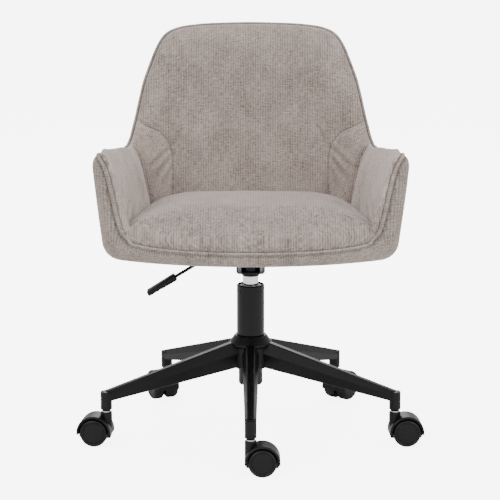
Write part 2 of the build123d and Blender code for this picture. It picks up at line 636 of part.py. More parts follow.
def grip_section(point, height, depth):
    """Rounded section of the lever's grip, square to the rod's lower run."""
    along = Vector(GRIP_END[0] - GRIP_START[0], 0, GRIP_END[1] - GRIP_START[1])
    with BuildSketch(Plane(origin=(point[0], 0, point[1]), x_dir=(0, 1, 0), z_dir=along)) as section:
        RectangleRounded(depth, height, 0.35 * height)
    return section.sketch


with BuildPart() as lever_grip:
    add(grip_section(GRIP_START, 13.0, 21.0))
    add(grip_section(GRIP_END, 10.0, 26.0))
    loft()
    fillet(lever_grip.faces().sort_by(Axis.X)[0].edges(), radius=2.5)
    fillet(lever_grip.faces().sort_by(Axis.X)[-1].edges(), radius=1.2)
    for share in (0.58, 0.74):
        x = GRIP_START[0] + share * (GRIP_END[0] - GRIP_START[0])
        z = GRIP_START[1] + share * (GRIP_END[1] - GRIP_START[1])
        with BuildSketch(Plane.XZ):
            with Locations((x + 4.9, z - 8.2)):
                Circle(5.2)
        extrude(amount=20, both=True, mode=Mode.SUBTRACT)
    add(lever_rod.part, mode=Mode.SUBTRACT)
save(lever_grip, "lever_grip")

# ---------------------------------------------------------------- tub seat
def level(low, high, z):
    """A plan outline at a height, blended between a low and a high outline."""
    share = (z - low["z"]) / (high["z"] - low["z"])
    return {key: low[key] + share * (high[key] - low[key]) for key in low}


def plan_section(outline, inset, front_inset, rear_radius):
    """Closed plan outline, moved inwards: bowed front, straight sides that close in, and a round back."""
    front_x = outline["front_x"] - inset
    rear_x = outline["rear_x"] - inset
    corner_y = outline["corner_y"] + front_inset
    front_y = outline["front_y"] + front_inset
    rear_y = outline["rear_y"] - 0.5 * inset
    back_y = outline["back_y"] - inset
    with BuildSketch(Plane.XY.offset(outline["z"])) as section:
        with BuildLine():
            ThreePointArc((-front_x, corner_y), (0, front_y), (front_x, corner_y))
            Line((front_x, corner_y), (rear_x, rear_y))
            ThreePointArc((rear_x, rear_y), (0, back_y), (-rear_x, rear_y))
            Line((-rear_x, rear_y), (-front_x, corner_y))
        make_face()
        fillet(section.vertices().group_by(Axis.Y)[0], radius=FRONT_CORNER_RADIUS)
        fillet(section.vertices().group_by(Axis.Y)[-1], radius=rear_radius)
    return section.sketch


def foot_inset(z):
    """How far the tub's outer face is drawn in at a height near its lower edge."""
    return max(0.0, FOOT_INSET * (1 - (z - TUB_BOTTOM) / FOOT_HEIGHT))


def tub_section(inset, z):
    """The tub's outline at a height, moved inwards."""
    return plan_section(level(TUB_LOW, TUB_HIGH, z), inset, inset, REAR_CORNER_RADIUS)


def tub_block(inset, bottom=TUB_BOTTOM, top=TUB_TOP + BEYOND):
    """Solid block inside the tub's outer face, inset from it all round, over its drawn-in lower edge."""
    foot_top = TUB_BOTTOM + FOOT_HEIGHT
    with BuildPart() as block:
        if bottom < foot_top:
            add(tub_section(inset + foot_inset(bottom), bottom))
            add(tub_section(inset, foot_top))
            loft(ruled=True)
        add(tub_section(inset, max(bottom, foot_top)))
        add(tub_section(inset, top))
        loft(ruled=True)
    return block.part


def upright_block(inset, bottom, top):
    """Solid block with upright sides, inset from the outline of the tub's underside."""
    with BuildPart() as block:
        with BuildSketch(Plane.XY.offset(bottom)):
            add(plan_section(level(TUB_LOW, TUB_HIGH, TUB_BOTTOM), inset, inset, REAR_CORNER_RADIUS))
        extrude(amount=top - bottom)
    return block.part


def seat_space(inset=0):
    """The room between the arms, inset from the pads and open past the tub's front."""
    with BuildPart() as space:
        for z in (TUB_BOTTOM - BEYOND, TUB_TOP + 2 * BEYOND):
            add(plan_section(level(SEAT_LOW, SEAT_HIGH, z), inset, 0, SEAT_CORNER_RADIUS))
        loft(ruled=True)
    return space.part


def cushion_layer(inset, bottom, top):
    """The seat space's slice between two heights, kept inside the tub's outer face by an inset."""
    with BuildPart() as layer:
        add(seat_space(CUSHION_GAP))
        add(tub_block(inset), mode=Mode.INTERSECT)
        with BuildSketch(Plane.XY.offset(bottom)):
            Rectangle(2 * REACH, 2 * REACH)
        extrude(amount=top - bottom, mode=Mode.INTERSECT)
    return layer.part


def rim_limits(drop, back_drop, wing_foot=WING_FOOT):
    """Everything under the rim: the front silhouette lowered by back_drop, crossed with the side silhouette
    lowered by drop."""
    floor = TUB_BOTTOM - BEYOND
    with BuildPart() as limits:
        with BuildSketch(Plane.XZ) as front_silhouette:
            with BuildLine():
                foot = [(BACK_EDGE[-1][0], wing_foot), (REACH, wing_foot), (REACH, floor)]
                right = list(dict.fromkeys([(BACK_HALF_WIDTH, TUB_TOP), *BACK_EDGE, *foot]))
                left = [(-x, z) for x, z in reversed(right)]
                Polyline(*right, *left, close=True)
            make_face()
            fillet(front_silhouette.vertices().group_by(Axis.Y)[-1], radius=BACK_TOP_RADIUS)
            if back_drop > 0:
                offset(amount=-back_drop, kind=Kind.INTERSECTION)
        extrude(amount=REACH, both=True)
        with BuildSketch(Plane.YZ):
            with BuildLine():
                Polyline((ARM_RIM[0][0], floor), *ARM_RIM, (REACH, TUB_TOP), (REACH, floor), close=True)
            make_face()
            if drop > 0:
                offset(amount=-drop, kind=Kind.INTERSECTION)
        extrude(amount=REACH, both=True, mode=Mode.INTERSECT)
    return limits.part


rim = rim_limits(0, 0)
rim_under_welt = rim_limits(WELT_HEIGHT, WELT_HEIGHT)
space = seat_space()
FRAME_INSET = COVER_THICKNESS + GAP
PAD_INSET = FRAME_INSET + FRAME_THICKNESS + GAP

with BuildPart() as outer_cover:
    add(tub_block(0))
    fillet(outer_cover.faces().sort_by(Axis.Z)[0].edges(), radius=6.0)
    add(tub_block(COVER_THICKNESS, bottom=TUB_BOTTOM + CLOTH_THICKNESS), mode=Mode.SUBTRACT)
    add(upright_block(OPENING_INSET, TUB_BOTTOM - BEYOND, TUB_BOTTOM + BEYOND), mode=Mode.SUBTRACT)
    add(rim_under_welt, mode=Mode.INTERSECT)
save(outer_cover, "outer_cover")

with BuildPart() as rim_piping:
    add(tub_block(0))
    add(tub_block(WELT_WIDTH, bottom=TUB_BOTTOM - BEYOND), mode=Mode.SUBTRACT)
    add(rim, mode=Mode.INTERSECT)
    add(rim_under_welt, mode=Mode.SUBTRACT)
save(rim_piping, "rim_piping")

with BuildPart() as shell_frame:
    add(tub_block(FRAME_INSET, bottom=BOARD_BOTTOM))
    add(tub_block(FRAME_INSET + FRAME_THICKNESS, bottom=TUB_BOTTOM - BEYOND), mode=Mode.SUBTRACT)
    add(rim_limits(FRAME_DROP, FRAME_BACK_DROP, FRAME_WING_FOOT), mode=Mode.INTERSECT)
save(shell_frame, "shell_frame")

with BuildPart() as padding:
    add(tub_block(PAD_INSET, bottom=BOARD_TOP + GAP))
    add(space, mode=Mode.SUBTRACT)
    add(rim, mode=Mode.INTERSECT)

PAD_PANELS = {               # name: (centre and width across, centre and depth)
    "back_pad": (0.0, 2 * PANEL_SEAM_X, 250.0, 380.0),
    "arm_pad_left": (-PANEL_SEAM_X - GAP - 100.0, 200.0, 0.0, 2 * REACH),
    "arm_pad_right": (PANEL_SEAM_X + GAP + 100.0, 200.0, 0.0, 2 * REACH),
}
for name, (x, width, y, depth) in PAD_PANELS.items():
    with BuildPart() as pad:
        with BuildSketch(Plane.XY.offset(TUB_BOTTOM)):
            with Locations((x, y)):
                Rectangle(width, depth)
        extrude(amount=TUB_TOP)
        add(padding.part, mode=Mode.INTERSECT)
    save(pad, name)

with BuildPart() as seat_board:
    add(upright_block(PAD_INSET + foot_inset(BOARD_BOTTOM), BOARD_BOTTOM, BOARD_TOP))
    with BuildSketch(Plane.XY.offset(BOARD_BOTTOM)):
        with GridLocations(BOLT_SPACING_X, BOLT_SPACING_Y, 2, 2):
            Circle(4.0)
    extrude(amount=BOARD_THICKNESS, mode=Mode.SUBTRACT)
save(seat_board, "seat_board")

with BuildPart() as dust_cover:
    add(upright_block(OPENING_INSET + GAP, TUB_BOTTOM, TUB_BOTTOM + CLOTH_THICKNESS))
    with BuildSketch(Plane.XY.offset(TUB_BOTTOM)):
        RectangleRounded(PLATE_X + 2, PLATE_Y + 2, 15.0)
    extrude(amount=CLOTH_THICKNESS, mode=Mode.SUBTRACT)
save(dust_cover, "dust_cover")

with BuildPart() as seat_cushion:
    add(cushion_layer(CUSHION_OVERHANG, CUSHION_STEP, CUSHION_TOP))
    fillet(seat_cushion.faces().sort_by(Axis.Z)[-1].edges(), radius=20.0)
    add(cushion_layer(PAD_INSET + CUSHION_GAP, BOARD_TOP + 2.0, CUSHION_STEP))
    for neighbour in (shell_frame, rim_piping, outer_cover):
        add(neighbour.part, mode=Mode.SUBTRACT)
save(seat_cushion, "seat_cushion")
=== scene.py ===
"""Looks of the swivel office chair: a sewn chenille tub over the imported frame, and a material for every part.

Lengths are in metres. A place u goes round the tub: 0 at the front's middle, 1 at the back's middle and 2 at
the front's middle again.
"""
import json
import math

import bmesh
import bpy
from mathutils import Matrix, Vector, noise
from mathutils.kdtree import KDTree


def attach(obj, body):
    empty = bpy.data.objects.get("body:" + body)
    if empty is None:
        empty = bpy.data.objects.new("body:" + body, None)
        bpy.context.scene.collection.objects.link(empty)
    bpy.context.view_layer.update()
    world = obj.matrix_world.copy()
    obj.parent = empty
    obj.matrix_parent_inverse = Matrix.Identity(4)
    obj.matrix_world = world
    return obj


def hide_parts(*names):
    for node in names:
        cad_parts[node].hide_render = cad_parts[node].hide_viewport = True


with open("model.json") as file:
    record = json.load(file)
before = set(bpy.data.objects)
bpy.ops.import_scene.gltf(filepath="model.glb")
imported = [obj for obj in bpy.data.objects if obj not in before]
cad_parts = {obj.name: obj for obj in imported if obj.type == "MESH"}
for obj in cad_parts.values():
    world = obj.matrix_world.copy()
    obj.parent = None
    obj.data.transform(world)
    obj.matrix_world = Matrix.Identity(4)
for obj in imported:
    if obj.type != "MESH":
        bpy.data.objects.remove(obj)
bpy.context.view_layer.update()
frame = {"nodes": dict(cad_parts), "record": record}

# ---------------------------------------------------------------- driving dimensions
TUB_BOTTOM = 0.352
TUB_TOP = 0.722
OUTLINE_KEYS = ("z", "front_x", "corner_y", "front_y", "rear_x", "rear_y", "back_y")
OUTER_LOW = dict(zip(OUTLINE_KEYS, (TUB_BOTTOM, 0.260, -0.142, -0.226, 0.210, 0.140, 0.238)))
OUTER_HIGH = dict(zip(OUTLINE_KEYS, (TUB_TOP, 0.302, -0.142, -0.240, 0.268, 0.176, 0.303)))
INNER_LOW = dict(zip(OUTLINE_KEYS, (TUB_BOTTOM, 0.214, -0.142, -0.200, 0.173, 0.095, 0.140)))
INNER_HIGH = dict(zip(OUTLINE_KEYS, (TUB_TOP, 0.282, -0.142, -0.210, 0.254, 0.150, 0.262)))
HALF_SAMPLES = 720           # samples of half an outline: a third each for the front, the side and the back
SAMPLE_STEP = 0.0012         # about how far apart they are
OUTER_ROUNDING = (0.014, 0.022)     # how far the front and rear corners of the plan are rounded off
INNER_ROUNDING = (0.010, 0.006)

BACK_START_Y = 0.12          # behind this depth the rim follows the back's outline seen from the front
BACK_RIM = [                 # half width across and height of the rim round the back
    (0.0, 0.7125), (0.080, 0.7115), (0.125, 0.7085), (0.148, 0.7030), (0.161, 0.6950), (0.170, 0.6830),
    (0.178, 0.6670), (0.187, 0.6450), (0.197, 0.6190), (0.206, 0.5910), (0.214, 0.5640), (0.221, 0.5380),
    (0.227, 0.5170), (0.235, 0.5055), (0.300, 0.5040),
]
ARM_RIM = [                  # depth and height of the rim, from the seat's front over the arm
    (-0.330, 0.3765), (-0.226, 0.3765), (-0.195, 0.3790), (-0.178, 0.3835), (-0.168, 0.3905),
    (-0.162, 0.4020), (-0.159, 0.4200), (-0.157, 0.4600), (-0.155, 0.5000), (-0.151, 0.5180),
    (-0.143, 0.5290), (-0.128, 0.5345), (-0.100, 0.5300), (-0.060, 0.5240), (0.000, 0.5165),
    (0.060, 0.5095), (0.120, 0.5045), (0.200, 0.5040),
]
UPRIGHT_Y = -0.1             # in front of this depth the arm's edge turns down to the seat
SEAM_LINE = [                # height and half width of the inner seams between the back and the arms
    (0.36, 0.143), (0.480, 0.143), (0.498, 0.146), (0.517, 0.156), (0.534, 0.172), (0.545, 0.186),
    (0.551, 0.195),
]
SEAM_TOP = 0.551
SEAM_TURN = 0.528            # above this height the seam swings out to the back's side edge
SEAM_FADE = (0.495, 0.530)   # between these heights the seams' grooves get shallow
SEAM_GROOVE = (0.0016, 0.0030)   # their depth above and below that
SEAM_SHADE = (0.15, 0.45)    # and how much shade is painted into them
WING_Y = 0.09                # behind this depth the arm panel is the back's wing
ARM_SWELL = 0.007            # how far the arm swells before the crease at its rear
CORNER_GROOVE = 0.006        # depth of that crease
CORNER_SHADE = 0.45          # how much shade is painted into it
WING_SHADE = 0.28            # and how much shade is painted over the wing behind it, against the arms' painted light
PANEL_BOTTOM = 0.380
PIPING_RADIUS = 0.0033
PIPING_PROUD = 0.0012        # how far the cord's middle stands over the rim
FOOT_INSET = 0.024           # the cover rolls in this far under the seat
FOOT_HEIGHT = 0.028
COVER_HEM = 0.0465           # and is turned in this far underneath
COVER_THICKNESS = 0.003
COVER_SEAMS = (0.652, 1.348)     # upright seams of the outer cover, just behind the arms
SEAM_COLUMNS = (-0.006, -0.004, -0.0025, -0.0012, 0, 0.0012, 0.0025, 0.004, 0.006)
BACKING_DEPTH = 0.0152       # the padding's flat back, in front of the shell frame

# depths and heights of the sewing along the rim, blended from one stretch to the next
CORD_INSET = {"front": 0.0022, "arm": 0.0130, "back": 0.0045}     # the piping, from the outer face
COVER_ROLL = {"front": 0.011, "arm": 0.024, "back": 0.011}        # the cover rolls in to it over this height
PAD_ROLL = {"edge": 0.016, "arm": 0.030, "back": 0.030}           # and the padding rolls away over this one
PAD_LIFT = {"edge": 0.004, "arm": 0.015, "arm_rear": 0.008, "back": 0.004}    # the padding's crest

CUSHION_CENTRE = (0.0, -0.03)
CUSHION_CROWN = 0.435
CUSHION_BOTTOM = 0.372
CUSHION_SIDE = 0.399         # the edge of its top, where it meets the panels
CUSHION_TUCK = 0.004         # its edge goes this far under them
CUSHION_CORD_GAP = 0.0062    # and stays this far inside the outer face along the front's piping
CUSHION_REAR_DROP = 0.020    # how much lower its top ends at the back
CUSHION_FRONT_DROP = 0.004   # and at the front
RIB_PITCH = 0.0046           # the chenille's ribs
BACKDROP_GLOW = 6.0          # seen by the camera alone
SKY_LIGHT = 0.9


# ---------------------------------------------------------------- small helpers
def lerp(a, b, t):
    return a + (b - a) * t


def clamp(t, low=0.0, high=1.0):
    return max(low, min(high, t))


def smooth(t):
    t = clamp(t)
    return t * t * (3 - 2 * t)


def rounded(t):
    """A quarter circle's rise from 0 to 1."""
    return math.sqrt(max(0.0, 1 - (1 - clamp(t)) ** 2))


def bump(distance, width):
    """A bell of height 1 round zero."""
    return math.exp(-(distance / width) ** 2)


def follow(table, t):
    """Value at t of a curve through a table's points, flat past its ends, with no overshoot."""
    if t <= table[0][0]:
        return table[0][1]
    if t >= table[-1][0]:
        return table[-1][1]
    k = next(i for i in range(len(table) - 1) if table[i + 1][0] >= t)
    slopes = [(b[1] - a[1]) / (b[0] - a[0]) for a, b in zip(table, table[1:])]

    def tangent(i):
        if i == 0 or i == len(table) - 1:
            return slopes[min(i, len(slopes) - 1)]
        before, after = slopes[i - 1], slopes[i]
        return 0.0 if before * after <= 0 else 2 * before * after / (before + after)

    width = table[k + 1][0] - table[k][0]
    s = (t - table[k][0]) / width
    start = (2 * s**3 - 3 * s**2 + 1) * table[k][1] + (s**3 - 2 * s**2 + s) * width * tangent(k)
    return start + (3 * s**2 - 2 * s**3) * table[k + 1][1] + (s**3 - s**2) * width * tangent(k + 1)


# ---------------------------------------------------------------- plan outlines of the tub
def arc_point(x_end, y_end, y_mid, share):
    """Point of an arc from the middle of the front or back, at share 0, to its end."""
    sag = abs(y_end - y_mid)
    radius = (x_end**2 + sag**2) / (2 * sag)
    side = math.copysign(1, y_end - y_mid)
    turn = math.asin(x_end / radius) * share
    return radius * math.sin(turn), y_mid + side * radius * (1 - math.cos(turn))


def blurred(points, reach):
    """One blur of a half outline that mirrors itself past both ends."""
    last = len(points) - 1

    def at(i):
        if i < 0:
            return -points[-i][0], points[-i][1]
        if i > last:
            return -points[2 * last - i][0], points[2 * last - i][1]
        return points[i]

    def mean(i):
        before, here, after = at(i - reach), at(i), at(i + reach)
        return tuple((before[k] + 2 * here[k] + after[k]) / 4 for k in (0, 1))

    return [mean(i) for i in range(last + 1)]


def half_outline(at, rounding):
    """Right half of a plan outline, from the front's middle to the back's middle."""
    third = HALF_SAMPLES // 3
    points = [arc_point(at["front_x"], at["corner_y"], at["front_y"], i / third) for i in range(third)]
    points += [
        (lerp(at["front_x"], at["rear_x"], i / third), lerp(at["corner_y"], at["rear_y"], i / third))
        for i in range(third)
    ]
    points += [arc_point(at["rear_x"], at["rear_y"], at["back_y"], 1 - i / third) for i in range(third + 1)]
    reach = 4
    passes = [round((spread / SAMPLE_STEP) ** 2 / (reach**2 / 2)) for spread in rounding]
    middle = HALF_SAMPLES // 2
    for turn in range(max(passes)):
        soft = blurred(points, reach)
        front = soft if turn < passes[0] else points
        rear = soft if turn < passes[1] else points
        points = front[:middle] + rear[middle:]
    return points


OUTER = [half_outline(OUTER_LOW, OUTER_ROUNDING), half_outline(OUTER_HIGH, OUTER_ROUNDING)]
INNER = [half_outline(INNER_LOW, INNER_ROUNDING), half_outline(INNER_HIGH, INNER_ROUNDING)]


def plan_point(outlines, u, z):
    """Point of the outer or inner face at a place u and a height."""
    u %= 2.0
    mirrored = u > 1.0
    place = (2.0 - u if mirrored else u) * HALF_SAMPLES
    i = min(int(place), HALF_SAMPLES - 1)
    part = place - i
    k = (z - OUTER_LOW["z"]) / (OUTER_HIGH["z"] - OUTER_LOW["z"])
    low, high = outlines

    def between_samples(outline, c):
        return lerp(outline[i][c], outline[i + 1][c], part)

    x, y = (lerp(between_samples(low, c), between_samples(high, c), k) for c in (0, 1))
    return Vector((-x if mirrored else x, y, z))


def half_place(u):
    """The place on the right half that a place mirrors."""
    return u if u <= 1 else 2 - u


def belly(z):
    """How far the outer face swells between its foot and its rim."""
    return 0.0015 * math.sin(math.pi * clamp((z - TUB_BOTTOM) / 0.24))


def outer_point(u, z):
    spot = plan_point(OUTER, u, z)
    inward = (plan_point(INNER, u, z) - spot).normalized()
    return spot - belly(z) * inward


def rim_height(u):
    """Height of the rim: the back's outline behind the arms, the arm's outline in front."""
    z = 0.5
    for _ in range(12):
        spot = plan_point(OUTER, u, z)
        goal = follow(BACK_RIM, abs(spot.x)) if spot.y > BACK_START_Y else follow(ARM_RIM, spot.y)
        z = lerp(z, goal, 0.6)
    return z


def evened(heights):
    """Heights, each averaged with its neighbours two places away."""
    last = len(heights) - 1
    return [
        (heights[max(i - 2, 0)] + 2 * heights[i] + heights[min(i + 2, last)]) / 4
        for i in range(last + 1)
    ]


RIM_Z = [rim_height(i / HALF_SAMPLES) for i in range(HALF_SAMPLES + 1)]
for _ in range(5):
    RIM_Z = evened(RIM_Z)


def rim_z(u):
    u %= 2.0
    place = (2.0 - u if u > 1.0 else u) * HALF_SAMPLES
    i = min(int(place), HALF_SAMPLES - 1)
    return lerp(RIM_Z[i], RIM_Z[i + 1], place - i)


def even_along_rim(first, last, count):
    """Places u between two places, evenly spaced along the rim itself."""
    steps = max(400, int(abs(last - first) * 4 * HALF_SAMPLES))
    fine = [lerp(first, last, i / steps) for i in range(steps + 1)]
    track = [outer_point(u, rim_z(u)) for u in fine]
    lengths = [0.0]
    for a, b in zip(track, track[1:]):
        lengths.append(lengths[-1] + (b - a).length)
    places, k = [], 0
    for i in range(count + 1):
        goal = lengths[-1] * i / count
        while k < steps - 1 and lengths[k + 1] < goal:
            k += 1
        share = (goal - lengths[k]) / max(lengths[k + 1] - lengths[k], 1e-9)
        places.append(lerp(fine[k], fine[k + 1], clamp(share)))
    return places


def first_u_above(height):
    """First place from the front's middle where the rim is above a height."""
    k = next(i for i in range(HALF_SAMPLES) if RIM_Z[i] > height)
    share = (height - RIM_Z[k - 1]) / (RIM_Z[k] - RIM_Z[k - 1])
    return (k - 1 + share) / HALF_SAMPLES


EDGE_FOOT_U = first_u_above(0.394)      # foot of the arm's upright front edge
EDGE_TOP_U = first_u_above(0.523)
EDGE_BLEND = 0.03                       # over this much of u the front's sewing turns into the arm's
ARM_REAR_U = 0.52                       # from here on the arm's crest gets lower
ARM_REAR_BLEND = 0.12
ARM_CREST_U = 0.610                     # the arm swells most here, before the crease at its rear
WING_U = next(i for i in range(HALF_SAMPLES // 2, HALF_SAMPLES) if RIM_Z[i] > SEAM_TOP) / HALF_SAMPLES
BACK_U = 0.76                           # from here on the rim counts as the back's
CORNER_U = 0.667                        # the crease where the arm meets the back's wing


class RimPlace:
    """A place on the rim: its point, the direction into the wall and the direction out over the rim."""

    def __init__(self, u):
        step = 0.0012
        self.point = outer_point(u, rim_z(u))
        self.inward = (plan_point(INNER, u, self.point.z) - self.point).normalized()
        along = (outer_point(u + step, rim_z(u + step)) - outer_point(u - step, rim_z(u - step))).normalized()
        over = along.cross(self.inward).normalized()
        outward = over.z - over.y if self.point.y < UPRIGHT_Y else over.z
        self.over = over if outward > 0 else -over
        half = half_place(u)
        upright = smooth((half - EDGE_FOOT_U + EDGE_BLEND) / EDGE_BLEND)
        grown = smooth((half - EDGE_FOOT_U) / EDGE_BLEND)
        rear = smooth((half - ARM_REAR_U) / ARM_REAR_BLEND)
        back = smooth((half - WING_U) / (BACK_U - WING_U))
        level = clamp(self.over.z)
        side_inset = lerp(CORD_INSET["arm"], CORD_INSET["back"], back)
        side_roll = lerp(COVER_ROLL["arm"], COVER_ROLL["back"], back)
        self.inset = lerp(CORD_INSET["front"], side_inset, upright)
        self.cover_roll = lerp(COVER_ROLL["front"], side_roll, upright)
        self.roll = lerp(lerp(PAD_ROLL["edge"], PAD_ROLL["arm"], level), PAD_ROLL["back"], back)
        arm_lift = lerp(PAD_LIFT["edge"], lerp(PAD_LIFT["arm"], PAD_LIFT["arm_rear"], rear), level) * grown
        self.lift = lerp(arm_lift, PAD_LIFT["back"], back)

    def cord_centre(self):
        return self.point + self.inset * self.inward + PIPING_PROUD * self.over


RIM_COUNT = 1500
RIM_PLACES = [RimPlace(u) for u in even_along_rim(0.0, 2.0, RIM_COUNT)[:-1]]
RIM_TREE = KDTree(RIM_COUNT)
for index, place in enumerate(RIM_PLACES):
    RIM_TREE.insert(place.point, index)
RIM_TREE.balance()


def nearest_rim(point):
    """The nearest place of the rim and the distance to its line."""
    _, index, distance = RIM_TREE.find(point)
    place, following = RIM_PLACES[index], RIM_PLACES[(index + 1) % RIM_COUNT]
    along = (following.point - place.point).normalized()
    offset = point - place.point
    return place, min(distance, (offset - offset.dot(along) * along).length)


ARC_HEIGHT = 0.48            # lengths round the tub are taken at this height
ARC_LENGTH = [0.0]
for i in range(HALF_SAMPLES):
    here = plan_point(OUTER, i / HALF_SAMPLES, ARC_HEIGHT)
    following = plan_point(OUTER, (i + 1) / HALF_SAMPLES, ARC_HEIGHT)
    ARC_LENGTH.append(ARC_LENGTH[-1] + (following - here).length)


def arc_length(u):
    """Length round the tub from the front's middle to a place."""
    u %= 2.0
    half = 2.0 - u if u > 1.0 else u
    place = half * HALF_SAMPLES
    i = min(int(place), HALF_SAMPLES - 1)
    length = lerp(ARC_LENGTH[i], ARC_LENGTH[i + 1], place - i)
    return 2 * ARC_LENGTH[-1] - length if u > 1.0 else length


# ---------------------------------------------------------------- mesh builders
def make_object(name, builder, material, weave=None, shade=None):
    """Links a mesh; weave and shade are functions of a vertex index that fill the fabric's attributes; shade is
    the painted shade of folds, seams and creases.
    """
    mesh = bpy.data.meshes.new(name)
    builder.normal_update()
    builder.to_mesh(mesh)
    builder.free()
    mesh.polygons.foreach_set("use_smooth", [True] * len(mesh.polygons))
    piece = bpy.data.objects.new(name, mesh)
    bpy.context.collection.objects.link(piece)
    piece.data.materials.append(material)
    if weave:
        fill_attributes(mesh, weave, shade)
    return piece


def fill_attributes(mesh, weave, shade):
    """Stores the fabric's thread coordinates and the shade painted into its folds, seams and creases."""
    threads = mesh.attributes.new("weave", "FLOAT_VECTOR", "POINT")
    threads.data.foreach_set("vector", [value for thread in weave for value in thread])
    painted_shades = mesh.attributes.new("painted_shade", "FLOAT", "POINT")
    painted_shades.data.foreach_set("value", shade)


def ring_mesh(columns):
    """Closed skin through a loop of closed profiles."""
    builder = bmesh.new()
    rows = [[builder.verts.new(point) for point in column] for column in columns]
    for a, b in zip(rows, rows[1:] + rows[:1]):
        for i in range(len(a)):
            j = (i + 1) % len(a)
            builder.faces.new((a[i], b[i], b[j], a[j]))
    bmesh.ops.recalc_face_normals(builder, faces=builder.faces)
    return builder


def slab_mesh(face, backing):
    """Closed body from a grid of points, a matching grid behind it, and walls between their edges."""
    builder = bmesh.new()
    front = [[builder.verts.new(point) for point in row] for row in face]
    rear = [[builder.verts.new(point) for point in row] for row in backing]
    rows, columns = len(front), len(front[0])
    for i in range(rows - 1):
        for j in range(columns - 1):
            builder.faces.new((front[i][j], front[i][j + 1], front[i + 1][j + 1], front[i + 1][j]))
            builder.faces.new((rear[i][j], rear[i + 1][j], rear[i + 1][j + 1], rear[i][j + 1]))
    edge = [(0, j) for j in range(columns)] + [(i, columns - 1) for i in range(1, rows)]
    edge += [(rows - 1, j) for j in range(columns - 2, -1, -1)] + [(i, 0) for i in range(rows - 2, 0, -1)]
    for (i, j), (m, n) in zip(edge, edge[1:] + edge[:1]):
        builder.faces.new((front[i][j], rear[i][j], rear[m][n], front[m][n]))
    bmesh.ops.recalc_face_normals(builder, faces=builder.faces)
    return builder


# ---------------------------------------------------------------- materials
def node_tools(tree):
    """Short-hands for adding a node with its settings to a tree and for linking two of its sockets."""

    def add(kind, **settings):
        node = tree.nodes.new(kind)
        for key, value in settings.items():
            setattr(node, key, value)
        return node

    return add, tree.links.new


def shader(name):
    """A new material with its surface shader and the short-hands for its nodes."""
    material = bpy.data.materials.new(name)
    material.use_nodes = True
    add, link = node_tools(material.node_tree)
    return material, material.node_tree.nodes["Principled BSDF"], add, link


def noise_at(add, link, source, stretch, scale, detail=3.0, roughness=0.55):
    """Noise stretched along the axes; returns its value socket."""
    mapping = add("ShaderNodeMapping")
    mapping.inputs["Scale"].default_value = stretch
    link(source, mapping.inputs["Vector"])
    texture = add("ShaderNodeTexNoise")
    texture.inputs["Scale"].default_value = scale
    texture.inputs["Detail"].default_value = detail
    texture.inputs["Roughness"].default_value = roughness
    link(mapping.outputs["Vector"], texture.inputs["Vector"])
    return texture.outputs["Fac"]


def math_node(add, link, operation, a, b):
    """A Math node; each input is a socket or a number."""
    node = add("ShaderNodeMath", operation=operation)
    for socket, value in zip(node.inputs, (a, b)):
        if isinstance(value, (int, float)):
            socket.default_value = value
        else:
            link(value, socket)
    return node.outputs[0]


WEAVE_LAYERS = {"rib": 0.15, "slub": 0.66, "thread": 0.36, "speck": 0.56}     # share of each in the relief
CLOUD_SHARE = 0.36           # share of the nap's small patches in the colour
WIDE_SHARE = 0.20            # and of its wide ones
TINT_LOW = 0.87              # the sum of all shares that gives the dark thread colour
TINT_SPAN = 0.60             # how much more gives the light one
DARK_THREAD = (0.105, 0.080, 0.069)
LIGHT_THREAD = (0.455, 0.382, 0.340)
# how much the painted shade of folds, seams and creases can darken the colour
FOLD_SHADE = 0.62


